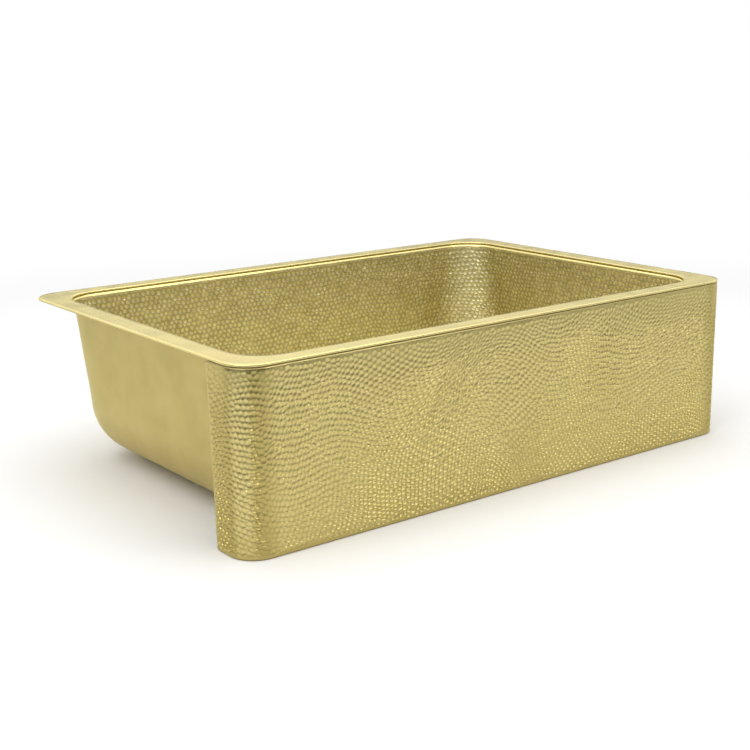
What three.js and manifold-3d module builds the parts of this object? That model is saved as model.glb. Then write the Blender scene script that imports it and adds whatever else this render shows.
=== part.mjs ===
// Farmhouse apron front sink in sheet brass: a flat rim plate, a single bowl with a rolled lip and a
// recessed drain seat, a folded apron wrapped round both front corners, and three stays behind the apron.
// Millimetres, +Z up, the apron faces -Y. The origin is on the standing plane under the middle of the sink.
import * as THREE from 'three';
import Module from 'manifold-3d';
import { mergeVertices } from 'three/addons/utils/BufferGeometryUtils.js';

const wasm = await Module();
wasm.setup();

// Driving dimensions: overall
const overallWidth = 838.2;
const overallDepth = 558.8;
const rimUndersideHeight = 229;
const sheet = 1.6; // brass sheet of the bowl and the apron
const seam = 0.3; // soldered joint between two pieces

// Rim plate
const rimThickness = 3;
const rimEdgeRound = 0.9;
const rimSideWidth = 32;
const rimFrontWidth = 28;
const rimBackWidth = 28;
const rimOuterRadius = 38;
const openingRadius = 55;

// Bowl
const lipBendRadius = 2; // inside of the bend from the wall to the flange under the rim
const lipFlangeWidth = 13; // how far the flange reaches under the rim
const wallDraft = 2; // how far a wall leans inwards on its way down
const wallCornerRadius = 90; // upright corners where they meet the bottom bend
const bottomRadius = 80; // bend from the walls to the floor
const floorFall = 3;
const drainHoleRadius = 44.5;
const drainSeatWidth = 13; // flat ring round the hole
const drainSeatDepth = 5;
const drainBendRadius = 0.9; // inside of both bends of the seat's step

// Apron
const apronSetback = 2; // the rim stands proud of the apron by this much
const apronReturnDepth = 66; // side returns, from the rim's front edge
const apronCornerRadius = 42;
const apronFoldRadius = 1.4; // inside of every fold
const apronTopFlangeWidth = 12;
const apronFootWidth = 18;
const apronReturnFlangeWidth = 12;

// Stays between the apron and the bowl
const stayThickness = 2;
const staySpacing = 260;
const stayHeight = 150;
const stayWrap = THREE.MathUtils.degToRad(42); // how far a stay follows the bottom bend

// Facets
const cornerSteps = 10;
const sideSteps = 6;
const bendSteps = 3;
const bottomSteps = 8;
const wallSteps = 3;
const floorSteps = 3;

// Places worked out from the sizes above
const openingHalfWidth = overallWidth / 2 - rimSideWidth;
const openingHalfDepth = (overallDepth - rimFrontWidth - rimBackWidth) / 2;
const openingCentreY = (rimFrontWidth - rimBackWidth) / 2;
const flangeTop = rimUndersideHeight - seam;
const lipRadius = lipBendRadius + sheet;
const lipCentreZ = flangeTop - lipRadius;
const drainStepRadius = drainBendRadius + sheet;
const seatTop = sheet; // the seat's underside is on the standing plane
const floorAtDrain = seatTop + drainSeatDepth;
const floorAtWalls = floorAtDrain + floorFall;
const bottomCentreZ = floorAtWalls + bottomRadius;
const bottomInset = lipRadius + wallDraft; // of the wall's foot, from the rim's opening
const apronFace = -overallDepth / 2 + apronSetback;
const apronSide = overallWidth / 2 - apronSetback;
const quarter = Math.PI / 2;

// One turn round a rounded rectangle, starting at its first corner arc
function roundedRing(halfWidth, halfDepth, radius, z, centreY = openingCentreY) {
	const points = [];
	for (let corner = 0; corner < 4; corner++) {
		const sideX = corner === 0 || corner === 3 ? 1 : -1;
		const sideY = corner < 2 ? 1 : -1;
		const centre = new THREE.Vector3(sideX * (halfWidth - radius), sideY * (halfDepth - radius), z);
		for (let i = 0; i <= cornerSteps; i++) {
			const angle = (corner + i / cornerSteps) * quarter;
			const arm = new THREE.Vector3(Math.cos(angle), Math.sin(angle), 0).multiplyScalar(radius);
			points.push(arm.add(centre));
		}
		const start = points[points.length - 1];
		const alongX = corner % 2 === 0;
		const length = 2 * (alongX ? halfWidth - radius : halfDepth - radius);
		for (let i = 1; i < sideSteps; i++) {
			const step = length * (i / sideSteps);
			const x = start.x - (alongX ? sideX * step : 0);
			const y = start.y - (alongX ? 0 : sideY * step);
			points.push(new THREE.Vector3(x, y, z));
		}
	}
	return points.map((point) => point.setY(point.y + centreY));
}

// The same number of points round a circle, matched to the corners of the rings above
function circleRing(radius, z) {
	const count = 4 * (cornerSteps + sideSteps);
	return Array.from({ length: count }, (_, i) => {
		const angle = quarter / 2 + ((i - cornerSteps / 2) / count) * 2 * Math.PI;
		return new THREE.Vector3(Math.cos(angle) * radius, Math.sin(angle) * radius + openingCentreY, z);
	});
}

function blendedRing(from, to, share) {
	return from.map((point, i) => point.clone().lerp(to[i], share));
}

// Skin through rings of equal point counts; the last ring joins the first, or both ends get a cap
function loft(rings, capTriangles = null) {
	const count = rings[0].length;
	const positions = rings.flat().flatMap((point) => point.toArray());
	const index = [];
	const lastRing = capTriangles ? rings.length - 1 : rings.length;
	for (let i = 0; i < lastRing; i++) {
		const here = i * count;
		const next = ((i + 1) % rings.length) * count;
		for (let j = 0; j < count; j++) {
			const k = (j + 1) % count;
			index.push(here + j, here + k, next + k);
			index.push(here + j, next + k, next + j);
		}
	}
	if (capTriangles) {
		const end = (rings.length - 1) * count;
		for (const [a, b, c] of capTriangles) {
			index.push(a, c, b);
			index.push(end + a, end + b, end + c);
		}
	}
	const geometry = new THREE.BufferGeometry();
	geometry.setAttribute('position', new THREE.Float32BufferAttribute(positions, 3));
	geometry.setIndex(index);
	return geometry;
}

function steps(count) {
	return Array.from({ length: count + 1 }, (_, i) => i / count);
}

// Rings of one face of the bowl, from the flange's edge to the drain hole. skin is 0 for the face that is
// seen from above and the sheet's thickness for the other.
function bowlFace(skin) {
	const ringAt = (inset, radius, z) =>
		roundedRing(openingHalfWidth - inset, openingHalfDepth - inset, radius, z);
	const rings = [ringAt(-lipFlangeWidth, openingRadius + lipFlangeWidth, flangeTop - skin)];
	for (const share of steps(bendSteps)) {
		const angle = share * quarter;
		const inset = (lipRadius - skin) * Math.sin(angle);
		const z = lipCentreZ + (lipRadius - skin) * Math.cos(angle);
		rings.push(ringAt(inset, openingRadius - inset, z));
	}
	const topRadius = openingRadius - lipRadius;
	for (const share of steps(wallSteps).slice(1, -1)) {
		const inset = lipRadius + wallDraft * share - skin;
		const radius = THREE.MathUtils.lerp(topRadius, wallCornerRadius, share) + skin;
		rings.push(ringAt(inset, radius, THREE.MathUtils.lerp(lipCentreZ, bottomCentreZ, share)));
	}
	for (const share of steps(bottomSteps)) {
		const angle = share * quarter;
		const reach = bottomRadius + skin;
		const inset = bottomInset + bottomRadius - reach * Math.cos(angle);
		const radius = wallCornerRadius - (inset - bottomInset);
		rings.push(ringAt(inset, radius, bottomCentreZ - reach * Math.sin(angle)));
	}
	const seatEdge = drainHoleRadius + drainSeatWidth + drainBendRadius;
	const floorRing = rings[rings.length - 1];
	const drainRing = circleRing(seatEdge + drainStepRadius, floorAtDrain - skin);
	for (const share of steps(floorSteps).slice(1)) {
		rings.push(blendedRing(floorRing, drainRing, share));
	}
	for (const share of steps(bendSteps).slice(1)) {
		const angle = share * quarter;
		const radius = seatEdge + drainStepRadius - (drainStepRadius - skin) * Math.sin(angle);
		rings.push(circleRing(radius, floorAtDrain - drainStepRadius + (drainStepRadius - skin) * Math.cos(angle)));
	}
	for (const share of steps(bendSteps)) {
		const angle = share * quarter;
		const reach = drainBendRadius + skin;
		const radius = seatEdge - drainBendRadius + reach * Math.cos(angle);
		rings.push(circleRing(radius, seatTop + drainBendRadius - reach * Math.sin(angle)));
	}
	rings.push(circleRing(drainHoleRadius, seatTop - skin));
	return rings;
}

function bowlGeometry() {
	return loft([...bowlFace(0), ...bowlFace(sheet).reverse()]);
}

// Rings up one edge of the rim plate, which is rounded below and above. ringAt gives the ring that lies a
// given inset behind the edge's outermost line.
function rimEdge(ringAt) {
	const lowerArc = { centreZ: rimUndersideHeight + rimEdgeRound, start: -quarter };
	const upperArc = { centreZ: rimUndersideHeight + rimThickness - rimEdgeRound, start: 0 };
	return [lowerArc, upperArc].flatMap(({ centreZ, start }) =>
		steps(bendSteps).map((share) => {
			const angle = start + share * quarter;
			return ringAt(rimEdgeRound * (1 - Math.cos(angle)), centreZ + rimEdgeRound * Math.sin(angle));
		}),
	);
}

function rimGeometry() {
	const aroundOpening = (reach, z) =>
		roundedRing(openingHalfWidth + reach, openingHalfDepth + reach, openingRadius + reach, z);
	const aroundPlate = (inset, z) =>
		roundedRing(overallWidth / 2 - inset, overallDepth / 2 - inset, rimOuterRadius - inset, z, 0);
	const flangeLine = aroundOpening(lipFlangeWidth + seam, rimUndersideHeight); // the bowl's flange ends here
	return loft([...rimEdge(aroundOpening).reverse(), flangeLine, ...rimEdge(aroundPlate)]);
}

// The apron's folded section: x runs inwards from the apron's face, y up from the standing plane
function apronSection() {
	const outerFold = apronFoldRadius + sheet;
	const topZ = rimUndersideHeight - seam;
	const section = new THREE.Shape();
	section.moveTo(apronTopFlangeWidth, topZ);
	section.absarc(outerFold, topZ - outerFold, outerFold, quarter, 2 * quarter);
	section.absarc(outerFold, outerFold, outerFold, 2 * quarter, 3 * quarter);
	section.lineTo(apronFootWidth, 0);
	section.lineTo(apronFootWidth, sheet);
	section.absarc(outerFold, outerFold, apronFoldRadius, 3 * quarter, 2 * quarter, true);
	section.absarc(outerFold, topZ - outerFold, apronFoldRadius, 2 * quarter, quarter, true);
	section.lineTo(apronTopFlangeWidth, topZ - sheet);
	return section.getPoints(bendSteps);
}

// Places along the apron's face, from the left return's back edge round to the right one's, each with the
// direction that points into the sink
function apronStations() {
	const backY = -overallDepth / 2 + apronReturnDepth;
	const centreX = apronSide - apronCornerRadius;
	const centreY = apronFace + apronCornerRadius;
	const rightHalf = steps(cornerSteps).map((share) => {
		const inwards = new THREE.Vector2(-Math.sin(share * quarter), Math.cos(share * quarter));
		const place = new THREE.Vector2(centreX, centreY).addScaledVector(inwards, -apronCornerRadius);
		return { place, inwards };
	});
	rightHalf.push({ place: new THREE.Vector2(apronSide, backY), inwards: new THREE.Vector2(-1, 0) });
	const leftHalf = rightHalf.map(({ place, inwards }) => ({
		place: new THREE.Vector2(-place.x, place.y),
		inwards: new THREE.Vector2(-inwards.x, inwards.y),
	}));
	return [...leftHalf.reverse(), ...rightHalf];
}

function toManifold(geometry) {
	const bare = geometry.clone();
	bare.deleteAttribute('normal');
	bare.deleteAttribute('uv');
	const merged = mergeVertices(bare, 1e-4);
	const vertProperties = Float32Array.from(merged.attributes.position.array);
	const triVerts = Uint32Array.from(merged.index.array);
	return new wasm.Manifold(new wasm.Mesh({ numProp: 3, vertProperties, triVerts }));
}

function fromManifold(solid) {
	const { vertProperties, triVerts } = solid.getMesh();
	const geometry = new THREE.BufferGeometry();
	geometry.setAttribute('position', new THREE.BufferAttribute(vertProperties, 3));
	geometry.setIndex(new THREE.BufferAttribute(triVerts, 1));
	return geometry;
}

function apronGeometry() {
	const section = apronSection();
	const rings = apronStations().map(({ place, inwards }) =>
		section.map((point) => {
			const spot = place.clone().addScaledVector(inwards, point.x);
			return new THREE.Vector3(spot.x, spot.y, point.y);
		}),
	);
	let apron = toManifold(loft(rings, THREE.ShapeUtils.triangulateShape(section, [])));
	const flange = new THREE.BoxGeometry(apronReturnFlangeWidth, sheet, flangeTop - 2 * apronFoldRadius);
	const flangeX = apronSide - apronReturnFlangeWidth / 2;
	const flangeY = -overallDepth / 2 + apronReturnDepth - sheet / 2;
	for (const side of [-1, 1]) {
		apron = apron.add(toManifold(flange.clone().translate(side * flangeX, flangeY, flangeTop / 2)));
	}
	return fromManifold(apron);
}

// A gusset plate: it stands on the apron's foot, backs the apron's face and follows the bowl's front
function stayGeometry() {
	const reach = bottomRadius + sheet + seam;
	const bowlFront = openingCentreY - openingHalfDepth;
	const bendY = bowlFront + bottomInset + bottomRadius;
	const lean = (stayHeight - bottomCentreZ) / (lipCentreZ - bottomCentreZ);
	const wallY = bendY - reach - wallDraft * lean;
	const frontY = apronFace + sheet + seam;
	const footY = apronFace + apronFootWidth;
	const footZ = sheet + seam;
	const plate = new THREE.Shape();
	plate.moveTo(frontY, stayHeight);
	plate.lineTo(frontY, footZ + apronFoldRadius);
	plate.lineTo(frontY + apronFoldRadius, footZ);
	plate.lineTo(footY, footZ);
	plate.absarc(bendY, bottomCentreZ, reach, 2 * quarter + stayWrap, 2 * quarter, true);
	plate.lineTo(wallY, stayHeight);
	const options = { depth: stayThickness, bevelEnabled: false, curveSegments: bottomSteps };
	return new THREE.ExtrudeGeometry(plate, options).translate(0, 0, -stayThickness / 2);
}

function brass(color, roughness) {
	return new THREE.MeshStandardMaterial({ color, roughness, metalness: 1 });
}

function named(name, geometry, material) {
	const mesh = new THREE.Mesh(geometry, material);
	mesh.name = name;
	return mesh;
}

function buildStays() {
	const stays = new THREE.Group();
	const places = { apron_stay_left: -1, apron_stay_centre: 0, apron_stay_right: 1 };
	for (const [name, place] of Object.entries(places)) {
		const stay = named(name, stayGeometry(), brass(0xa8955a, 0.5));
		stay.rotation.set(quarter, quarter, 0); // the plate's outline stands in the Y-Z plane
		stay.position.x = place * staySpacing;
		stays.add(stay);
	}
	return stays;
}

const sink = new THREE.Group();
sink.add(named('rim_frame', rimGeometry(), brass(0xe9dc9c, 0.32)));
sink.add(named('basin', bowlGeometry(), brass(0xb9a96b, 0.4)));
sink.add(named('apron_panel', apronGeometry(), brass(0xcbbd7c, 0.38)));
sink.add(buildStays());

export default sink;
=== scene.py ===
import math

import bpy
import numpy as np
from mathutils import Matrix, Vector
from mathutils.geometry import delaunay_2d_cdt


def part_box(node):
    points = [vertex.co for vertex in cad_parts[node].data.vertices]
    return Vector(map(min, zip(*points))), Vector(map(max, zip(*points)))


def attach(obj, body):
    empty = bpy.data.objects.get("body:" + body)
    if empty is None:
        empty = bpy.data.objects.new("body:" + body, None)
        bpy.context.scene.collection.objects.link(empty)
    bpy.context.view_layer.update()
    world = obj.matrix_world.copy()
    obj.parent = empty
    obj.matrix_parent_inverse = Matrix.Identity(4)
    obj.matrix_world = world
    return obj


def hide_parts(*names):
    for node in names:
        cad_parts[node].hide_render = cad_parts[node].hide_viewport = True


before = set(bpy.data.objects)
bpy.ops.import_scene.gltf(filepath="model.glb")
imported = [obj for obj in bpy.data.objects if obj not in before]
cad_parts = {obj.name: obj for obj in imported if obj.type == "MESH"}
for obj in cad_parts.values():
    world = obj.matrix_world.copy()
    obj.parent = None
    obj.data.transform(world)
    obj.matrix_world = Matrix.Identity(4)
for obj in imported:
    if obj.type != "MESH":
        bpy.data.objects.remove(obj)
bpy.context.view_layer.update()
print("frame loaded:", ", ".join(sorted(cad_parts)))

rimLow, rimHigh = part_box("rim_frame")
bowlLow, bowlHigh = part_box("basin")
apronLow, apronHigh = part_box("apron_panel")

mm = 0.001
quarter = math.pi / 2
sheet = 1.6 * mm  # brass sheet of the bowl and the apron

studio = {
    "cameraPlace": (-1.1534, -1.4922, 0.5819),
    "cameraYaw": 37.23,  # degrees, from +Y towards +X
    "cameraPitch": 14.29,  # looking down
    "cameraRoll": -0.75,
    "lens": 63.9,
    "sensor": 36,
    "sightEnd": 100,
    "aim": (0, 0, 0.12),  # of the lamps
    "floorSize": 60.0,
    "floorTone": 0.8,  # what it gives to the light around
    "floorWhite": 1.0,  # what the camera and the metal see of it
    "floorRoughness": 0.9,
    "floorFade": (1.25, 1.9),  # from here out the paper shows the studio's own tone
    "worldLight": 0.55,
    # What the metal sees, as pairs of a height and the tone there: behind the sink the backdrop, a gap,
    # a softbox and the ceiling, and on the camera's side a dark room and a pale ceiling
    "toneBehind": ((0.03, 1.0), (0.08, 0.22), (0.155, 0.15), (0.25, 1.55), (0.36, 1.5), (0.6, 1.1)),
    "toneInFront": ((0.09, 0.02), (0.4, 1.2)),
    "toneTurn": (-0.35, 0.15),  # from the one to the other, along the camera's heading
}


def placeCamera():
    yaw = math.radians(studio["cameraYaw"])
    pitch = math.radians(studio["cameraPitch"])
    roll = math.radians(studio["cameraRoll"])
    ahead = Vector((math.sin(yaw) * math.cos(pitch), math.cos(yaw) * math.cos(pitch), -math.sin(pitch)))
    levelRight = Vector((math.cos(yaw), -math.sin(yaw), 0))
    levelUp = levelRight.cross(ahead)
    right = levelRight * math.cos(roll) + levelUp * math.sin(roll)
    up = levelUp * math.cos(roll) - levelRight * math.sin(roll)
    camera = bpy.data.objects.new("camera", bpy.data.cameras.new("camera"))
    bpy.context.scene.collection.objects.link(camera)
    turn = Matrix((right, up, -ahead)).transposed().to_4x4()
    camera.matrix_world = Matrix.Translation(studio["cameraPlace"]) @ turn
    camera.data.sensor_width = studio["sensor"]
    camera.data.lens = studio["lens"]
    camera.data.clip_end = studio["sightEnd"]
    bpy.context.scene.camera = camera


def addNode(tree, kind, settings=(), values=()):
    node = tree.nodes.new("ShaderNode" + kind)
    for name, value in dict(settings).items():
        setattr(node, name, value)
    for name, value in dict(values).items():
        if isinstance(value, bpy.types.NodeSocket):
            tree.links.new(value, node.inputs[name])
        else:
            node.inputs[name].default_value = value
    return node


def multiply(tree, first, second):
    return addNode(tree, "Math", {"operation": "MULTIPLY"}, {0: first, 1: second}).outputs[0]


def mixTones(tree, share, first, second):
    return addNode(tree, "Mix", (), {"Factor": share, "A": first, "B": second}).outputs["Result"]


def mixColours(tree, share, first, second):
    colours = {"Factor": share, "A": first, "B": second}
    return addNode(tree, "Mix", {"data_type": "RGBA"}, colours).outputs["Result"]


# A value taken from one range to another
def mapRange(tree, value, low, high, newLow=0.0, newHigh=1.0, kind="LINEAR"):
    limits = {"Value": value, "From Min": low, "From Max": high, "To Min": newLow, "To Max": newHigh}
    return addNode(tree, "MapRange", {"interpolation_type": kind}, limits).outputs[0]


# 1 for the rays that show the background: the camera's, the glossy ones and those through glass
def shownRay(tree):
    path = addNode(tree, "LightPath").outputs
    shown = path["Is Camera Ray"]
    for name in ("Is Glossy Ray", "Is Transmission Ray"):
        shown = addNode(tree, "Math", {"operation": "MAXIMUM"}, {0: shown, 1: path[name]}).outputs[0]
    return shown


# The camera itself sees plain white paper all round
def whiteToCamera(tree, tone):
    isCamera = addNode(tree, "LightPath").outputs["Is Camera Ray"]
    return mixTones(tree, isCamera, tone, 1.0)


# How far a direction points away from the camera's side: 0 there, 1 behind the sink
def awayFromCamera(tree, direction):
    yaw = math.radians(studio["cameraYaw"])
    unit = addNode(tree, "VectorMath", {"operation": "NORMALIZE"}, {0: direction}).outputs[0]
    heading = {0: unit, 1: (math.sin(yaw), math.cos(yaw), 0)}
    along = addNode(tree, "VectorMath", {"operation": "DOT_PRODUCT"}, heading).outputs["Value"]
    return mapRange(tree, along, *studio["toneTurn"], kind="SMOOTHSTEP")


# The tone at a height, from pairs like those above
def toneAtHeight(tree, height, pairs):
    result = pairs[0][1]
    for (low, _), (high, tone) in zip(pairs, pairs[1:]):
        result = mixTones(tree, mapRange(tree, height, low, high, kind="SMOOTHSTEP"), result, tone)
    return result


def lightWorld():
    world = bpy.data.worlds.new("paleStudio")
    bpy.context.scene.world = world
    world.use_nodes = True
    tree = world.node_tree
    direction = addNode(tree, "TexCoord").outputs["Generated"]
    height = addNode(tree, "SeparateXYZ", (), {0: direction}).outputs["Z"]
    inFront = toneAtHeight(tree, height, studio["toneInFront"])
    behind = toneAtHeight(tree, height, studio["toneBehind"])
    shown = whiteToCamera(tree, mixTones(tree, awayFromCamera(tree, direction), inFront, behind))
    strength = mixTones(tree, shownRay(tree), studio["worldLight"], shown)
    background = tree.nodes["Background"]
    background.inputs["Color"].default_value = (1, 1, 1, 1)
    tree.links.new(strength, background.inputs["Strength"])


def grey(tone):
    return (tone, tone, tone, 1)


# Pale paper that keeps the sink's shadow and runs over into the studio's own tone further out
def makePaper():
    material = bpy.data.materials.new("palePaper")
    material.use_nodes = True
    tree = material.node_tree
    shown = shownRay(tree)
    paper = mixColours(tree, shown, grey(studio["floorTone"]), grey(studio["floorWhite"]))
    lit = tree.nodes["Principled BSDF"]
    tree.links.new(paper, lit.inputs["Base Color"])
    lit.inputs["Roughness"].default_value = studio["floorRoughness"]
    lit.inputs["Specular IOR Level"].default_value = 0
    where = addNode(tree, "TexCoord").outputs["Object"]
    away = addNode(tree, "VectorMath", {"operation": "LENGTH"}, {0: where}).outputs["Value"]
    fade = mapRange(tree, away, *studio["floorFade"], kind="SMOOTHSTEP")
    tone = mixTones(tree, awayFromCamera(tree, where), studio["toneInFront"][0][1], 1.0)
    plain = addNode(tree, "Emission", (), {"Strength": whiteToCamera(tree, tone)}).outputs[0]
    share = multiply(tree, fade, shown)
    mixed = addNode(tree, "MixShader", (), {0: share, 1: lit.outputs[0], 2: plain}).outputs[0]
    tree.links.new(mixed, tree.nodes["Material Output"].inputs["Surface"])
    return material


def layFloor():
    half = studio["floorSize"] / 2
    corners = [(-half, -half, 0), (half, -half, 0), (half, half, 0), (-half, half, 0)]
    mesh = bpy.data.meshes.new("floor")
    mesh.from_pydata(corners, [], [(0, 1, 2, 3)])
    floor = bpy.data.objects.new("floor", mesh)
    bpy.context.scene.collection.objects.link(floor)
    mesh.materials.append(makePaper())


lamps = {
    "softboxLeft": {"place": (-1.9, -0.6, 1.9), "size": (1.6, 1.2), "watts": 14},
    "softboxAbove": {"place": (0.1, 0.1, 2.4), "size": (3.2, 3.2), "watts": 40},
    "softboxFront": {"place": (1.35, -2.55, 1.3), "size": (0.8, 0.8), "watts": 6.5},
}


def hangLamps():
    aim = Vector(studio["aim"])
    for name, look in lamps.items():
        lamp = bpy.data.lights.new(name, "AREA")
        lamp.shape = "RECTANGLE"
        lamp.size, lamp.size_y = look["size"]
        lamp.energy = look["watts"]
        holder = bpy.data.objects.new(name, lamp)
        bpy.context.scene.collection.objects.link(holder)
        holder.location = look["place"]
        holder.rotation_euler = (aim - holder.location).to_track_quat("-Z", "Y").to_euler()
        holder.visible_camera = False


placeCamera()
lightWorld()
layFloor()
hangLamps()
bpy.context.scene.view_settings.view_transform = "Standard"
print("studio set")


# A rounded plan. A place on it is a turn from 0 to 4: one for each corner with the side after it.
cornerShare = 0.3  # of a turn


def planLengths(halfX, halfY, radius):
    arc = quarter * radius
    alongX = 2 * (halfX - radius)
    alongY = 2 * (halfY - radius)
    return np.cumsum([0, arc, alongX, arc, alongY, arc, alongX, arc, alongY])


# The turns of places given as shares of the whole way round
def turnsAt(shares, halfX, halfY, radius):
    lengths = planLengths(halfX, halfY, radius)
    turns = [0, cornerShare, 1, 1 + cornerShare, 2, 2 + cornerShare, 3, 3 + cornerShare, 4]
    return np.interp(np.asarray(shares) * lengths[-1], lengths, turns)


# Places on the plan, and the outward direction at each
def planPlace(turns, halfX, halfY, radius):
    turns = np.mod(turns, 4)
    corner = np.floor(turns)
    along = turns - corner
    angle = (corner + np.minimum(along / cornerShare, 1)) * quarter
    outward = np.stack([np.cos(angle), np.sin(angle)], -1)
    ahead = np.stack([-outward[..., 1], outward[..., 0]], -1)
    signX = np.where((corner == 0) | (corner == 3), 1, -1)
    signY = np.where(corner < 2, 1, -1)
    centre = np.stack([signX * (halfX - radius), signY * (halfY - radius)], -1)
    sideShare = np.maximum(along - cornerShare, 0) / (1 - cornerShare)
    sideLength = np.where(corner % 2 == 0, 2 * (halfX - radius), 2 * (halfY - radius))
    radius = np.broadcast_to(radius, turns.shape)
    return centre + outward * radius[..., None] + ahead * (sideShare * sideLength)[..., None], outward


def withHeight(plan, height):
    return np.concatenate([plan, np.broadcast_to(height, plan.shape[:-1])[..., None]], -1)


# Slow, even unevenness of hand work: waves of a few lengths in directions drawn once
def unevenness(places, length, seed):
    draw = np.random.default_rng(seed)
    total = np.zeros(places.shape[:-1])
    waves = 7
    for _ in range(waves):
        direction = draw.normal(size=places.shape[-1])
        direction /= np.linalg.norm(direction)
        stretch = draw.uniform(0.7, 1.5)
        phase = draw.uniform(0, 2 * math.pi)
        total += np.sin(places @ direction * (2 * math.pi / (length * stretch)) + phase)
    return total / math.sqrt(waves)


# A swirl over a sheet. Every wave pushes along its own crests, so that marks keep the room around them.
def swirled(spots, length, seed):
    draw = np.random.default_rng(seed)
    total = np.zeros(spots.shape)
    waves = 5
    for heading in draw.uniform(0, 2 * math.pi, waves):
        across = np.array([math.cos(heading), math.sin(heading)])
        crest = np.array([-across[1], across[0]])
        stretch = draw.uniform(0.7, 1.4)
        phase = draw.uniform(0, 6)
        wave = np.sin(spots @ across * (2 * math.pi / (length * stretch)) + phase)
        total += wave[:, None] * crest
    return total / math.sqrt(waves / 2)


# A shell gathers the points and triangles of one piece. A point's ridge value goes from 0 in the middle of
# a hammer mark, and on plain metal, to 1 on the ridges; slot is the material of the triangles to come.
def newShell():
    return {"points": [], "ridges": [], "faces": [], "slots": [], "count": 0, "slot": 0}


def addPoints(shell, points, ridge=0.0):
    points = np.asarray(points).reshape(-1, 3)
    start = shell["count"]
    shell["points"].append(points)
    shell["ridges"].append(np.full(len(points), ridge))
    shell["count"] += len(points)
    return np.arange(start, shell["count"])


def addFaces(shell, faces):
    shell["faces"].append(faces)
    shell["slots"].append(np.full(len(faces), shell["slot"]))


# Triangles between two chains of points along their rising turns; the second is to the left of the first
def stitched(first, firstTurns, second, secondTurns):
    faces = []
    i = 0
    j = 0
    while i < len(first) - 1 or j < len(second) - 1:
        firstEnds = i == len(first) - 1
        secondEnds = j == len(second) - 1
        stepFirst = secondEnds
        if not firstEnds and not secondEnds:
            stepFirst = abs(firstTurns[i + 1] - secondTurns[j]) <= abs(secondTurns[j + 1] - firstTurns[i])
        if stepFirst:
            faces.append((first[i], first[i + 1], second[j]))
            i += 1
        else:
            faces.append((first[i], second[j + 1], second[j]))
            j += 1
    return np.array(faces)


def stitch(shell, first, second):
    addFaces(shell, stitched(*first, *second))


def stitchAll(shell, chains):
    for first, second in zip(chains, chains[1:]):
        stitch(shell, first, second)


# A ring is a chain that ends where it starts
def addRing(shell, places, turns):
    points = addPoints(shell, places)
    return np.append(points, points[0]), np.append(turns, turns[0] + 4)


def makePiece(name, shell, materials, shade=None, crisp=False):
    points = np.concatenate(shell["points"]).astype(np.float32)
    faces = np.concatenate(shell["faces"]).astype(np.int32)
    ridges = np.concatenate(shell["ridges"]).astype(np.float32)
    mesh = bpy.data.meshes.new(name)
    mesh.vertices.add(len(points))
    mesh.vertices.foreach_set("co", points.ravel())
    mesh.loops.add(faces.size)
    mesh.loops.foreach_set("vertex_index", faces.ravel())
    mesh.polygons.add(len(faces))
    mesh.polygons.foreach_set("loop_start", np.arange(0, faces.size, 3, dtype=np.int32))
    mesh.update(calc_edges=True)
    mesh.attributes.new("hammerRidge", "FLOAT", "POINT").data.foreach_set("value", ridges)
    # painted shade for each point, mixed into the brass as a darker colour
    if shade:
        shades = shade(points).astype(np.float32)
        mesh.attributes.new("shade", "FLOAT", "POINT").data.foreach_set("value", shades)
    if crisp:  # every edge that runs along a ridge
        ends = np.empty(2 * len(mesh.edges), np.int32)
        mesh.edges.foreach_get("vertices", ends)
        ridged = (ridges[ends.reshape(-1, 2)] == 1).all(1)
        mesh.attributes.new("sharp_edge", "BOOLEAN", "EDGE").data.foreach_set("value", ridged)
    for material in materials:
        mesh.materials.append(material)
    mesh.polygons.foreach_set("material_index", np.concatenate(shell["slots"]).astype(np.int32))
    piece = bpy.data.objects.new(name, mesh)
    bpy.context.scene.collection.objects.link(piece)
    print(name, "has", len(faces), "triangles")
    return piece


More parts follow.
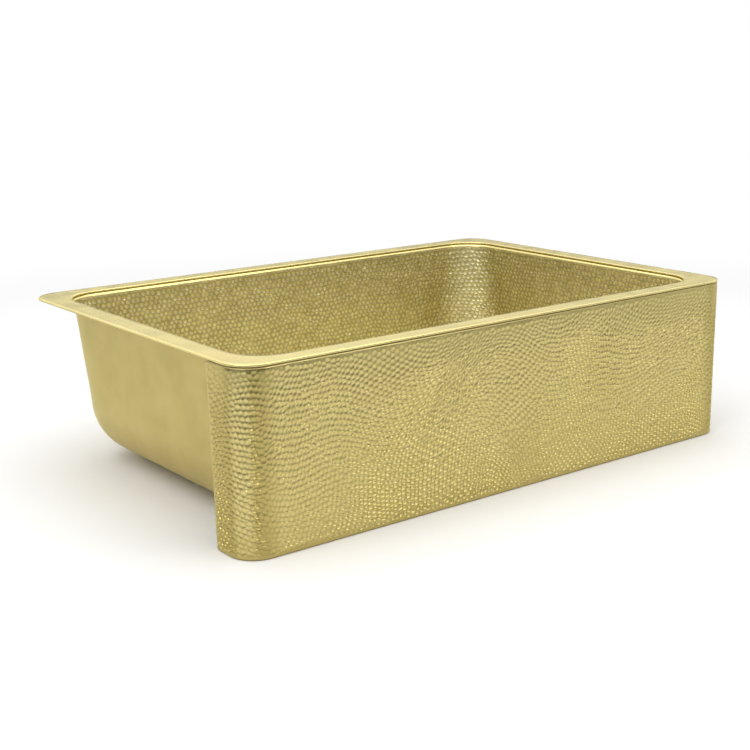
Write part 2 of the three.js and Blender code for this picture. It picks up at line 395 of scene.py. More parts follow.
# Hammer work. Every strike leaves a dish, and the ridges between dishes run through the middles of the
# triangles that join neighbouring strikes. A patch has those triangles, the place of their corners on the
# sheet, the lean of each strike, which puts its deepest point off the middle, and a function that bends
# the sheet to its shape.
def hammer(shell, strikes, depths, patches, dishRings):
    triangles = np.concatenate([patch["triangles"] for patch in patches])
    middles = []
    rings = [[] for _ in dishRings]
    for patch in patches:
        centre = patch["corners"].mean(1, keepdims=True)
        places, _ = patch["place"](centre[:, 0])
        middles.append(places)
        corners = patch["corners"] + patch["lean"]
        for share, ring in zip(dishRings, rings):
            places, facing = patch["place"](corners + (centre - corners) * share)
            hollow = depths[patch["triangles"]] * (1 - share**2)
            ring.append((places - facing * hollow[..., None]).reshape(-1, 3))
    strikePoints = addPoints(shell, strikes)
    middlePoints = addPoints(shell, np.concatenate(middles), 1)
    ringPoints = [addPoints(shell, np.concatenate(ring), share**2) for share, ring in zip(dishRings, rings)]

    count = len(strikes)
    start = triangles.ravel()
    end = np.roll(triangles, -1, 1).ravel()
    order = np.argsort(start * count + end)
    keys = (start * count + end)[order]
    wanted = end * count + start
    found = np.minimum(np.searchsorted(keys, wanted), len(keys) - 1)
    shared = keys[found] == wanted
    edge = np.arange(len(start))
    after = edge - edge % 3 + (edge + 1) % 3  # the same triangle's next corner
    twin = order[found]

    inner = edge[shared]
    across = twin[shared]
    left = [points[inner] for points in ringPoints] + [middlePoints[inner // 3]]
    right = [points[after[across]] for points in ringPoints] + [middlePoints[across // 3]]
    faces = [np.stack([strikePoints[start[inner]], right[0], left[0]], -1)]
    for k in range(len(dishRings)):
        faces.append(np.stack([right[k], right[k + 1], left[k + 1]], -1))
        faces.append(np.stack([right[k], left[k + 1], left[k]], -1))

    outer = edge[~shared]
    near = [strikePoints[start[outer]]] + [points[outer] for points in ringPoints]
    far = [strikePoints[end[outer]]] + [points[after[outer]] for points in ringPoints]
    for k in range(len(dishRings)):
        faces.append(np.stack([near[k], far[k], far[k + 1]], -1))
        faces.append(np.stack([near[k], far[k + 1], near[k + 1]], -1))
    faces.append(np.stack([near[-1], far[-1], middlePoints[outer // 3]], -1))
    addFaces(shell, np.concatenate(faces))
    return strikePoints


# Triangles between the points inside some closed outlines, which come first
def joinInside(outlines, inner):
    edges = []
    start = 0
    for outline in outlines:
        count = len(outline)
        edges += [(start + i, start + (i + 1) % count) for i in range(count)]
        start += count
    plan = np.concatenate([*outlines, inner])
    result = delaunay_2d_cdt([Vector(place) for place in plan], edges, [], 1, 1e-7)
    source = np.array([origin[0] for origin in result[3]])
    return plan, source[np.array(result[2])]


# Corners of triangles on a sheet that closes on itself: those past the seam are counted on
def cornersRound(spots, triangles):
    corners = spots[triangles].copy()
    turns = corners[..., 0]
    turns[(turns.max(1, keepdims=True) - turns) > 2] += 4
    return corners


# The bowl
bowl = {
    "flange": 13 * mm,  # reaches under the rim
    "openingRadius": 55 * mm,
    "lipBend": 2 * mm,
    "wallDraft": 2 * mm,
    "wallCornerRadius": 90 * mm,
    "bottomRadius": 80 * mm,
    "floorFall": 3 * mm,
    "drainHole": 44.5 * mm,
    "seatWidth": 13 * mm,
    "seatDepth": 5 * mm,
    "drainBend": 0.9 * mm,
    "wallPitch": 8 * mm,  # from one hammer mark to the next
    "floorPitch": 15.5 * mm,
    "strikeDepth": 0.085,  # of the pitch
    "strikeScatter": 0.26,
    "depthSpread": (0.6, 1.25),  # the shallowest strike and the deepest, of the depth
    "lipDepth": 0.35,  # how much is left of it in the row under the lip
    "rowSway": 3.5 * mm,
    "wallSway": (160 * mm, 11),  # length and seed of the waves
    "floorSway": ((170 * mm, 21), (170 * mm, 22)),
    "edgeRoom": 0.6,  # of the pitch: between the floor's marks and what they end at
    "dishRings": (0.6,),  # shares of the way from a mark's middle to its ridges
    "outerDent": 0.3 * mm,
    "dents": (55 * mm, 3),
    "outerColumns": 176,
    "outerRows": (9, 14, 12),  # across the floor, round the bend and up the wall
    "drainColumns": 96,
    "seed": 7,
}
openingHalfX = bowlHigh.x - bowl["flange"]
openingHalfY = bowlHigh.y - bowl["flange"]
lipRadius = bowl["lipBend"] + sheet
lipCentreHeight = bowlHigh.z - lipRadius
seatTop = bowlLow.z + sheet
floorAtDrain = seatTop + bowl["seatDepth"]
floorAtWalls = floorAtDrain + bowl["floorFall"]
bendCentreHeight = floorAtWalls + bowl["bottomRadius"]
lipWay = quarter * lipRadius
wallWay = math.hypot(lipCentreHeight - bendCentreHeight, bowl["wallDraft"])
bendWay = quarter * bowl["bottomRadius"]
drainStep = bowl["drainBend"] + sheet
seatEdge = bowl["drainHole"] + bowl["seatWidth"] + bowl["drainBend"]
drainReach = seatEdge + drainStep


# The bowl's upper face along its way down from the rim's opening; the flange is before 0
def bowlSection(way):
    way = np.asarray(way, float)
    lipAngle = np.clip(way / lipRadius, 0, quarter)
    wallShare = np.clip((way - lipWay) / wallWay, 0, 1)
    bendAngle = np.clip((way - lipWay - wallWay) / bowl["bottomRadius"], 0, quarter)
    bendInset = bowl["bottomRadius"] * (1 - np.cos(bendAngle))
    lipInset = np.minimum(way, 0) + lipRadius * np.sin(lipAngle)
    drop = lipCentreHeight - bendCentreHeight
    height = lipCentreHeight + lipRadius * np.cos(lipAngle) - drop * wallShare
    height = height - bowl["bottomRadius"] * np.sin(bendAngle)
    cornerRadius = bowl["openingRadius"] - lipInset
    cornerRadius = cornerRadius + (bowl["wallCornerRadius"] - cornerRadius) * wallShare - bendInset
    inset = lipInset + bowl["wallDraft"] * wallShare + bendInset
    facingIn = np.sin(lipAngle) * np.cos(bendAngle)
    facingUp = np.cos(lipAngle) + np.sin(bendAngle)
    return inset, height, cornerRadius, facingIn, facingUp


def wallPlace(spots):
    inset, height, radius, facingIn, facingUp = bowlSection(spots[..., 1])
    plan, outward = planPlace(spots[..., 0], openingHalfX - inset, openingHalfY - inset, radius)
    facing = np.concatenate([-outward * facingIn[..., None], facingUp[..., None]], -1)
    return withHeight(plan, height), facing


def floorHeight(plan):
    reach = np.linalg.norm(plan, axis=-1)
    inset, _, _, _, _ = bowlSection(lipWay + wallWay + bendWay)
    gaugeX = abs(plan[..., 0]) / (openingHalfX - inset)
    gaugeY = abs(plan[..., 1]) / (openingHalfY - inset)
    outerReach = reach / np.maximum(np.maximum(gaugeX, gaugeY), 1e-6)  # also at the very middle
    share = np.clip((reach - drainReach) / (outerReach - drainReach), 0, 1)
    return floorAtDrain + bowl["floorFall"] * share


def floorPlace(spots):
    facing = np.broadcast_to((0.0, 0.0, 1.0), spots.shape[:-1] + (3,))
    return withHeight(spots, floorHeight(spots)), facing


def bowlRing(shell, turns, way, behind=0.0, dent=0.0):
    spots = np.stack([turns, np.full(len(turns), way)], -1)
    places, facing = wallPlace(spots)
    push = behind + dent * unevenness(places, *bowl["dents"])
    return addRing(shell, places - facing * push[:, None], turns)


# The marks lie wider apart from the wall down to the floor
def pitchAt(way):
    share = max(0, (way - lipWay - wallWay) / bendWay)
    return bowl["wallPitch"] + (bowl["floorPitch"] - bowl["wallPitch"]) * share


# Rows of strikes down the wall and round the bend to the floor's edge
def wallStrikes(draw):
    rowWays = [lipWay]
    while rowWays[-1] < lipWay + wallWay + bendWay:
        rowWays.append(rowWays[-1] + pitchAt(rowWays[-1]) * math.sqrt(3) / 2)
    rowWays = np.interp(rowWays, [lipWay, rowWays[-1]], [lipWay, lipWay + wallWay + bendWay])
    rows = []
    for k, way in enumerate(rowWays):
        inset, _, radius, _, _ = bowlSection(way)
        shape = (openingHalfX - inset, openingHalfY - inset, radius)
        length = planLengths(*shape)[-1]
        pitch = pitchAt(way)
        count = round(length / pitch)
        scatter = bowl["strikeScatter"] * pitch
        shares = (np.arange(count) + 0.25 + 0.5 * (k % 2)) / count
        ground = np.stack([shares * length, np.full(count, way)], -1)
        sideways = draw.uniform(-scatter, scatter, count)
        turns = turnsAt(shares + sideways / length, *shape)
        ways = np.full(count, way)
        if 0 < k < len(rowWays) - 1:
            sway = bowl["rowSway"] * math.sin(math.pi * k / len(rowWays)) ** 0.5
            ways = ways + draw.uniform(-scatter, scatter, count)
            ways += sway * unevenness(ground, *bowl["wallSway"])
        rows.append(np.stack([turns, ways], -1))
    return rows


def floorStrikes(draw, edgePlan):
    pitch = bowl["floorPitch"]
    rowStep = pitch * math.sqrt(3) / 2
    room = bowl["edgeRoom"] * pitch
    halfX = edgePlan[:, 0].max() - room
    halfY = edgePlan[:, 1].max() - room
    rows = np.arange(-round(halfY / rowStep), round(halfY / rowStep) + 1)
    columns = np.arange(-round(halfX / pitch), round(halfX / pitch) + 1)
    column, row = np.meshgrid(columns, rows)
    plan = np.stack([(column + 0.5 * (row % 2)) * pitch, row * rowStep], -1).reshape(-1, 2)
    sway = np.stack([unevenness(plan, *waves) for waves in bowl["floorSway"]], -1)
    scatter = bowl["strikeScatter"] * pitch
    plan = plan + bowl["rowSway"] * sway + draw.uniform(-scatter, scatter, plan.shape)
    inside = (abs(plan[:, 0]) < halfX) & (abs(plan[:, 1]) < halfY)
    inside &= np.linalg.norm(plan, axis=1) > drainReach + room
    return plan[inside]


def circle(shell, angles, radius, height):
    plan = np.stack([np.cos(angles), np.sin(angles)], -1) * radius
    return addRing(shell, withHeight(plan, height), angles / quarter)


# From the floor's edge round the drain down to the seat and through the hole to the underside
def drainRings(shell):
    angles = np.arange(bowl["drainColumns"]) / bowl["drainColumns"] * 2 * math.pi
    bends = np.linspace(0, quarter, 4)
    rings = []
    upperCentre = floorAtDrain - drainStep
    lowerCentre = seatTop + bowl["drainBend"]
    for bend in bends[1:]:
        reach = drainReach - drainStep * math.sin(bend)
        rings.append(circle(shell, angles, reach, upperCentre + drainStep * math.cos(bend)))
    for bend in bends[1:]:
        reach = seatEdge - bowl["drainBend"] * (1 - math.cos(bend))
        rings.append(circle(shell, angles, reach, lowerCentre - bowl["drainBend"] * math.sin(bend)))
    rings.append(circle(shell, angles, bowl["drainHole"], seatTop))
    rings.append(circle(shell, angles, bowl["drainHole"], seatTop - sheet))
    outerBend = bowl["drainBend"] + sheet
    for bend in bends[::-1]:
        reach = seatEdge - bowl["drainBend"] + outerBend * math.cos(bend)
        rings.append(circle(shell, angles, reach, lowerCentre - outerBend * math.sin(bend)))
    for bend in bends[::-1][:-1]:
        reach = drainReach - (drainStep - sheet) * math.sin(bend)
        rings.append(circle(shell, angles, reach, upperCentre + (drainStep - sheet) * math.cos(bend)))
    return rings


# The outside, from the drain out along the floor and up to the flange
def outerRings(shell):
    floorWay = lipWay + wallWay + bendWay
    inset, _, radius, _, _ = bowlSection(lipWay + wallWay)
    shape = (openingHalfX - inset, openingHalfY - inset, radius)
    turns = turnsAt(np.arange(bowl["outerColumns"]) / bowl["outerColumns"], *shape)
    edge, _ = wallPlace(np.stack([turns, np.full(len(turns), floorWay)], -1))
    angles = np.unwrap(np.arctan2(edge[:, 1], edge[:, 0]))
    ring = np.stack([np.cos(angles), np.sin(angles)], -1) * drainReach
    rings = []
    floorRows, bendRows, wallRows = bowl["outerRows"]
    for share in np.arange(floorRows) / floorRows:
        plan = ring + (edge[:, :2] - ring) * share
        height = floorAtDrain + bowl["floorFall"] * share - sheet
        ringTurns = angles / quarter if share == 0 else turns
        rings.append(addRing(shell, withHeight(plan, height), ringTurns))
    ways = list(floorWay - bendWay * np.arange(bendRows) / bendRows)
    ways += list(lipWay + wallWay * (1 - np.arange(wallRows) / wallRows))
    for way in ways:
        rings.append(bowlRing(shell, turns, way, sheet, bowl["outerDent"]))
    for way in [lipWay * share for share in (1, 0.67, 0.33, 0)] + [-bowl["flange"]]:
        rings.append(bowlRing(shell, turns, way, sheet))
    return rings


# The hammered face, from the wall's top row down to the drain. Gives both of its edges.
def hammerBowl(shell, draw):
    rows = wallStrikes(draw)
    spots = np.concatenate(rows)
    starts = np.cumsum([0] + [len(row) for row in rows])
    chains = []
    for row, start in zip(rows, starts):
        indices = np.append(np.arange(start, start + len(row)), start)
        chains.append((indices, np.append(row[:, 0], row[0, 0] + 4)))
    wall = np.concatenate([stitched(*chains[k], *chains[k + 1]) for k in range(len(rows) - 1)])
    wallPoints, facing = wallPlace(spots)

    edgeStart = starts[-2]
    edgePlan = wallPoints[edgeStart:, :2]
    drainCount = bowl["drainColumns"] // 2
    drainAngles = np.arange(drainCount) / drainCount * 2 * math.pi
    drainPlan = np.stack([np.cos(drainAngles), np.sin(drainAngles)], -1) * drainReach
    plan, floor = joinInside([edgePlan, drainPlan], floorStrikes(draw, edgePlan))
    # the hole's outline is straight-sided and so lies a little inside its reach
    overDrain = np.linalg.norm(plan[floor].mean(1), axis=1) <= 0.995 * drainReach
    floor = floor[~overDrain]
    floorPoints, floorFacing = floorPlace(plan[len(edgePlan) :])

    strikes = np.concatenate([wallPoints, floorPoints])
    facing = np.concatenate([facing, floorFacing])
    pitches = np.array([pitchAt(way) for way in spots[:, 1]] + [bowl["floorPitch"]] * len(floorPoints))
    depths = bowl["strikeDepth"] * pitches * draw.uniform(*bowl["depthSpread"], len(strikes))
    depths[: len(rows[0])] *= bowl["lipDepth"]
    drainStart = len(wallPoints)
    depths[drainStart : drainStart + drainCount] = 0
    patches = [
        {"triangles": wall, "corners": cornersRound(spots, wall), "lean": 0, "place": wallPlace},
        {"triangles": floor + edgeStart, "corners": plan[floor], "lean": 0, "place": floorPlace},
    ]
    points = hammer(shell, strikes - facing * depths[:, None], depths, patches, bowl["dishRings"])
    topRow = points[chains[0][0]], chains[0][1]
    drainPoints = np.append(points[drainStart : drainStart + drainCount], points[drainStart])
    return topRow, (drainPoints, np.append(drainAngles / quarter, 4))


def buildBowl(inside, outside, polished):
    shell = newShell()
    topRow, drainRow = hammerBowl(shell, np.random.default_rng(bowl["seed"]))
    lipCount = 2 * (len(topRow[0]) - 1)
    lipTurns = turnsAt(np.arange(lipCount) / lipCount, openingHalfX, openingHalfY, bowl["openingRadius"])
    lipWays = [-bowl["flange"], *np.linspace(0, lipWay, 5)[:-1]]
    lip = [bowlRing(shell, lipTurns, way) for way in lipWays]
    shell["slot"] = 2
    stitchAll(shell, lip + [topRow])
    shell["slot"] = 0
    drain = drainRings(shell)
    stitchAll(shell, [drainRow] + drain)
    shell["slot"] = 1
    skin = outerRings(shell)
    stitch(shell, drain[-1], skin[0])
    skin[0] = skin[0][0], skin[1][1]  # the floor's rings go by their place round the wall
    stitchAll(shell, skin + [lip[0]])
    return makePiece("hammered_bowl", shell, [inside, outside, polished])


# The apron
apron = {
    "setback": 0.8 * mm,  # behind the rim's edge
    "cornerRadius": 36 * mm,
    "foldRadius": 3 * mm,  # outside of every fold
    "topFlange": 12 * mm,
    "foot": 18 * mm,
    "returnFlange": 12 * mm,
    "returnGain": 9 / 229,  # how much further back a return ends, for each metre up
    "flangeFade": 5 * mm,  # the folds end this far before the return's own fold
    "endFold": 0.05,  # what is left there of the fold's angle
    "endFlange": 0.02,  # and of the flange
    "strikePitch": 6.9 * mm,
    "strikeDepth": 0.12,  # of the pitch
    "strikeLean": (0.24, -0.17),  # of the pitch: the blows came from the upper left
    "strikeScatter": 0.2,
    "swirl": 22 * mm,  # how far the rows wander
    "swirls": (240 * mm, 34),  # length and seed of the waves
    "edgeRoom": (0.6, 0.5),  # of the pitch: between the marks and the ends, and the top and foot
    "dishRings": (0.45, 0.8),
    "depthSpread": (0.75, 1.25),
    "depthSway": 0.22,
    "depthWaves": (260 * mm, 35),
    "footDepth": 2.1,  # the low marks mirror the floor and need more depth to show
    "depthLoss": 1.25,  # from there to the top
    "topDepth": 0.35,  # at the very top, rising to all of it over topReach
    "topReach": 45 * mm,
    "edgeDepth": 0.15,  # at the very foot, rising over edgeReach
    "edgeReach": 8 * mm,
    # Round a corner, in mm from the return's end of the bend to the front: how much painted shade, standing
    # in for dark reflected bands, and how deep
    "bendWays": (-20, 0, 6, 16, 32, 39, 52, 60, 72),
    "bendShades": (0.5, 0.7, 0.9, 0, 0, 1, 0.9, 0.5, 0),
    "bendDepths": (1.6, 1.5, 0.8, 0.5, 0.8, 1.6, 0.35, 0.6, 1),
    # painted shade at the foot, for the shadowed floor that it mirrors, over this height
    "footShade": 12 * mm,
    "foldColumns": 330,
    "backColumns": 170,
    "backRows": 10,
    "seed": 5,
}
apronFront = rimLow.y + apron["setback"]
apronSide = rimHigh.x - apron["setback"]

# Length and radius of each leg of the plan, from the left return's flange round to the right's
apronLegs = [
    (apron["returnFlange"] - apron["foldRadius"], 0),
    (quarter * apron["foldRadius"], apron["foldRadius"]),
    (apronHigh.y - apronFront - apron["foldRadius"] - apron["cornerRadius"], 0),
    (quarter * apron["cornerRadius"], apron["cornerRadius"]),
    (2 * (apronSide - apron["cornerRadius"]), 0),
]
apronLegs += apronLegs[-2::-1]
apronLength = sum(length for length, _ in apronLegs)
flangeWay = apronLegs[0][0] + apronLegs[1][0]  # the return's flange with its fold
returnLength = apronLegs[2][0]
wallFoot = apronLow.z + apron["foldRadius"]
wallTop = apronHigh.z - apron["foldRadius"]


# Places along the apron's plan, and the outward direction at each
def apronPlan(along):
    along = np.asarray(along, float)
    place = np.array([apron["returnFlange"] - apronSide, apronHigh.y])
    heading = math.pi
    places = np.zeros(along.shape + (2,))
    outward = np.zeros(along.shape + (2,))
    start = 0.0
    for length, radius in apronLegs:
        step = along - start
        on = (step >= -1e-9) & (step <= length + 1e-9)
        ahead = np.array([math.cos(heading), math.sin(heading)])
        if radius:
            turned = heading + step / radius
            centre = place + radius * np.array([-ahead[1], ahead[0]])
            side = np.stack([np.sin(turned), -np.cos(turned)], -1)
            spots = centre + side * radius
            heading += length / radius
            place = centre + radius * np.array([math.sin(heading), -math.cos(heading)])
        else:
            side = np.broadcast_to((ahead[1], -ahead[0]), places.shape)
            spots = place + ahead * step[..., None]
            place = place + ahead * length
        places[on] = spots[on]
        outward[on] = side[on]
        start += length
    return places, outward


def smooth(value):
    value = np.clip(value, 0, 1)
    return value * value * (3 - 2 * value)


# The apron's outer face. A spot is a distance along the plan and a height that runs on round the folds.
def apronPlace(spots):
    along = spots[..., 0]
    rise = spots[..., 1]
    plan, outward = apronPlan(along)
    fromEnd = np.minimum(along, apronLength - along) - flangeWay
    faded = 2 * fromEnd / apron["flangeFade"]
    folded = apron["endFold"] + (1 - apron["endFold"]) * smooth(faded)
    widened = apron["endFlange"] + (1 - apron["endFlange"]) * smooth(faded - 1)
    above = rise > wallTop
    beyond = np.maximum(np.maximum(rise - wallTop, wallFoot - rise), 0)
    radius = apron["foldRadius"]
    angle = folded * np.minimum(beyond / radius, quarter)
    flat = widened * np.maximum(beyond - radius * quarter, 0)
    inset = radius * (1 - np.cos(angle)) + flat * np.sin(angle)
    lift = radius * np.sin(angle) + flat * np.cos(angle)
    height = np.clip(rise, wallFoot, wallTop) + np.where(above, lift, -lift)
    facing = withHeight(outward * np.cos(angle)[..., None], np.where(above, 1, -1) * np.sin(angle))
    places = withHeight(plan - outward * inset[..., None], height)
    places[..., 1] += apron["returnGain"] * height * np.clip(1 - fromEnd / returnLength, 0, 1)
    return places, facing


def apronRow(shell, along, rise, behind=0.0):
    places, facing = apronPlace(np.stack([along, np.full(len(along), rise)], -1))
    return addPoints(shell, places - facing * behind), along


# Strikes over the apron's face. Their rows wander, so they run out at the edges, which get their own.
def apronStrikes(draw):
    pitch = apron["strikePitch"]
    rowStep = pitch * math.sqrt(3) / 2
    spare = 6  # rows and columns past each edge
    columns = np.arange(-spare, apronLength / pitch + spare)
    rows = np.arange(-spare, (wallTop - wallFoot) / rowStep + spare)
    column, row = np.meshgrid(columns, rows)
    spots = np.stack([(column + 0.5 * (row % 2)) * pitch, wallFoot + row * rowStep], -1).reshape(-1, 2)
    scatter = apron["strikeScatter"] * pitch
    wander = swirled(spots, *apron["swirls"])
    spots = spots + apron["swirl"] * wander + draw.uniform(-scatter, scatter, spots.shape)
    sideRoom, endRoom = np.array(apron["edgeRoom"]) * pitch
    inside = (spots[:, 0] > sideRoom) & (spots[:, 0] < apronLength - sideRoom)
    inside &= (spots[:, 1] > wallFoot + endRoom) & (spots[:, 1] < wallTop - endRoom)
    along = np.linspace(0, apronLength, round(apronLength / pitch) + 1)
    rise = np.linspace(wallFoot, wallTop, round((wallTop - wallFoot) / pitch) + 1)
    return along, rise, spots[inside]


def apronDepths(draw, spots):
    rise = spots[:, 1]
    fromEnd = np.minimum(spots[:, 0], apronLength - spots[:, 0]) - flangeWay
    depths = apron["strikeDepth"] * apron["strikePitch"] * draw.uniform(*apron["depthSpread"], len(spots))
    depths *= smooth(fromEnd / apron["edgeReach"])
    depths *= apron["topDepth"] + (1 - apron["topDepth"]) * smooth((wallTop - rise) / apron["topReach"])
    depths *= 1 + apron["depthSway"] * unevenness(spots, *apron["depthWaves"])
    depths *= apron["footDepth"] - apron["depthLoss"] * (rise - wallFoot) / (wallTop - wallFoot)
    depths *= np.interp((fromEnd - returnLength) / mm, apron["bendWays"], apron["bendDepths"])
    depths *= apron["edgeDepth"] + (1 - apron["edgeDepth"]) * smooth((rise - wallFoot) / apron["edgeReach"])
    return depths


# Painted shade on the apron: darker returns, painted reflections of dark bands beside each corner's bend, a
# darker foot for the shadowed floor that it mirrors and a darker fold at its top for the shadow under the
# rim
def apronShade(points):
    radius = apron["cornerRadius"]
    fromSide = apronSide - radius - abs(points[:, 0])
    fromFront = points[:, 1] - apronFront - radius
    turn = np.arctan2(np.maximum(-fromFront, 0), np.maximum(-fromSide, 0))
    way = radius * turn + np.maximum(fromSide, 0) - np.maximum(fromFront, 0)
    bands = np.interp(way / mm, apron["bendWays"], apron["bendShades"])
    foot = smooth(1 - (points[:, 2] - apronLow.z) / apron["footShade"])
    fold = smooth((points[:, 2] - wallTop) / mm)
    return np.maximum.reduce([bands, foot, fold])


# The hammered face. Gives its edges: the foot, the right end, the top and the left end.
def hammerApron(shell, draw, along, rise, inner):
    foot = np.stack([along, np.full(len(along), wallFoot)], -1)
    end = np.stack([np.full(len(rise), apronLength), rise], -1)
    top = np.stack([along, np.full(len(along), wallTop)], -1)[::-1]
    start = np.stack([np.zeros(len(rise)), rise], -1)[::-1]
    edges = (foot, end, top, start)
    outline = np.concatenate([edge[:-1] for edge in edges])
    spots, face = joinInside([outline], inner)
    depths = apronDepths(draw, spots)
    lean = np.array(apron["strikeLean"]) * apron["strikePitch"] * (depths / depths.max())[:, None]
    lean[: len(outline)] = 0
    strikes, facing = apronPlace(spots + lean)
    patch = {"triangles": face, "corners": spots[face], "lean": lean[face], "place": apronPlace}
    points = hammer(shell, strikes - facing * depths[:, None], depths, [patch], apron["dishRings"])
    border = np.append(points[: len(outline)], points[0])
    corners = np.cumsum([0] + [len(edge) - 1 for edge in edges])
    return [border[first : last + 1] for first, last in zip(corners, corners[1:])]


def buildApron(brassFace, paintedShadeSeam):
    draw = np.random.default_rng(apron["seed"])
    shell = newShell()
    along, rise, inner = apronStrikes(draw)
    footEdge, endEdge, topEdge, startEdge = hammerApron(shell, draw, along, rise, inner)

    fold = quarter * apron["foldRadius"]
    footReach = fold + apron["foot"] - apron["foldRadius"]
    topReach = fold + apron["topFlange"] - apron["foldRadius"]
    footRises = [wallFoot - reach for reach in (footReach, 2 * fold, fold, 0.66 * fold, 0.33 * fold)]
    topRises = [wallTop + reach for reach in (0.33 * fold, 0.66 * fold, fold, 2 * fold, topReach)]
    foldAlong = np.linspace(0, apronLength, apron["foldColumns"])
    footRows = [apronRow(shell, foldAlong, height) for height in footRises]
    topRows = [apronRow(shell, foldAlong, height) for height in topRises]
    stitch(shell, footRows[-1], (footEdge, along))
    stitch(shell, (topEdge[::-1], along), topRows[0])
    # the folds and flanges at the top and foot take the darker seam brass: painted shade
    shell["slot"] = 1
    stitchAll(shell, footRows)
    stitchAll(shell, topRows)
    shell["slot"] = 0

    backAlong = np.linspace(0, apronLength, apron["backColumns"])
    backRises = footRises + list(np.linspace(wallFoot, wallTop, apron["backRows"])) + topRises
    backRows = [apronRow(shell, backAlong, height, sheet) for height in backRises]
    stitchAll(shell, backRows[::-1])
    stitch(shell, backRows[0], footRows[0])
    stitch(shell, topRows[-1], backRows[-1])
    frontRises = footRises + list(rise) + topRises
    frontStart = [row[0][0] for row in footRows] + list(startEdge[::-1]) + [row[0][0] for row in topRows]
    frontEnd = [row[0][-1] for row in footRows] + list(endEdge) + [row[0][-1] for row in topRows]
    backStart = [row[0][0] for row in backRows]
    backEnd = [row[0][-1] for row in backRows]
    stitch(shell, (frontStart, frontRises), (backStart, backRises))
    stitch(shell, (backEnd, backRises), (frontEnd, frontRises))
    return makePiece("hammered_apron", shell, [brassFace, paintedShadeSeam], apronShade, crisp=True)


# The rim plate
rim = {
    "sideWidth": 32 * mm,
    "frontWidth": 28 * mm,
    "outerRadius": 38 * mm,
    "edgeRound": 0.9 * mm,
    "columns": 640,
    "topRows": 5,
    "unevenness": 0.08 * mm,
    "waves": (60 * mm, 41),
}


def buildRim(brassFace, paintedShadeSeam):
    shell = newShell()
    outer = (rimHigh.x, rimHigh.y, rim["outerRadius"])
    inner = (rimHigh.x - rim["sideWidth"], rimHigh.y - rim["frontWidth"], bowl["openingRadius"])
    turns = turnsAt(np.arange(rim["columns"]) / rim["columns"], *outer)
    bends = np.linspace(0, quarter, 5)
    insets = rim["edgeRound"] * (1 - np.sin(bends))
    rises = rim["edgeRound"] * (1 - np.cos(bends))
    insets = [*insets, *insets[::-1]]
    heights = [*(rimLow.z + rises), *(rimHigh.z - rises[::-1])]

    # up round the edge of the plate; inwards is 1 where the metal lies inside the shape
    def edgeRings(shape, inwards):
        edge = []
        for inset, height in zip(insets, heights):
            plan, _ = planPlace(turns, *(size - inwards * inset for size in shape))
            edge.append((plan, height))
        return edge

    rings = edgeRings(inner, -1)[::-1] + edgeRings(outer, 1)
    outerTop, _ = rings[-1]
    innerTop, _ = rings[0]
    for share in np.arange(1, rim["topRows"] + 1) / (rim["topRows"] + 1):
        plan = outerTop + (innerTop - outerTop) * share
        waves = unevenness(plan, *rim["waves"])
        height = rimHigh.z + rim["unevenness"] * waves - rim["unevenness"]
        rings.append((plan, height))
    chains = [addRing(shell, withHeight(plan, height), turns) for plan, height in rings]
    seamStart = len(bends)  # from the inner edge's lower round, under the plate, to the outer one's
    seamEnd = 3 * len(bends)
    # the underside and the lower rounds of the edges take the darker seam brass: painted shade under the
    # plate
    shell["slot"] = 1
    stitchAll(shell, chains[seamStart:seamEnd])
    shell["slot"] = 0
    stitchAll(shell, chains[seamEnd - 1 :] + chains[: seamStart + 1])
    return makePiece("rim_plate", shell, [brassFace, paintedShadeSeam])


# Finishes
def newGroup(name, inputs, outputs):
    group = bpy.data.node_groups.new(name, "ShaderNodeTree")
    for label, kind, value in inputs:
        socket = group.interface.new_socket(label, in_out="INPUT", socket_type="NodeSocket" + kind)
        socket.default_value = value
    for label, kind in outputs:
        group.interface.new_socket(label, in_out="OUTPUT", socket_type="NodeSocket" + kind)
    return group, group.nodes.new("NodeGroupInput").outputs, group.nodes.new("NodeGroupOutput").inputs


def placeGroup(tree, group, values):
    return addNode(tree, "Group", {"node_tree": group}, values).outputs


# Noise in the object's own space whose blotches are about as wide as size
def blotches(tree, where, size, detail):
    perMetre = addNode(tree, "Math", {"operation": "DIVIDE"}, {0: 1.0, 1: size}).outputs[0]
    values = {"Vector": where, "Scale": perMetre, "Detail": detail}
    return addNode(tree, "TexNoise", (), values).outputs["Fac"]


# Fine marks of the polishing mop as a height, and how they gather as a tone
def makeMopMarks():
    inputs = [("Size", "Float", 0.002), ("Stretch", "Vector", (1, 1, 1)), ("Gather", "Float", 0.02)]
    group, given, put = newGroup("mopMarks", inputs, [("Height", "Float"), ("Tone", "Float")])
    where = addNode(group, "TexCoord").outputs["Object"]
    stretched = addNode(group, "VectorMath", {"operation": "MULTIPLY"}, {0: where, 1: given["Stretch"]})
    group.links.new(blotches(group, stretched.outputs[0], given["Size"], 4), put["Height"])
    group.links.new(blotches(group, where, given["Gather"], 3), put["Tone"])
    return group


# Brass that has aged a little unevenly: fresh metal with browner clouds
def makeAgedTone():
    inputs = [("Fresh", "Color", (1, 1, 1, 1)), ("Aged", "Color", (1, 1, 1, 1))]
    inputs += [("Cloud", "Float", 0.1), ("Amount", "Float", 0.5)]
    group, given, put = newGroup("agedTone", inputs, [("Color", "Color")])
    where = addNode(group, "TexCoord").outputs["Object"]
    clouds = mapRange(group, blotches(group, where, given["Cloud"], 5), 0.35, 0.65)
    tone = mixColours(group, multiply(group, clouds, given["Amount"]), given["Fresh"], given["Aged"])
    group.links.new(tone, put["Color"])
    return group
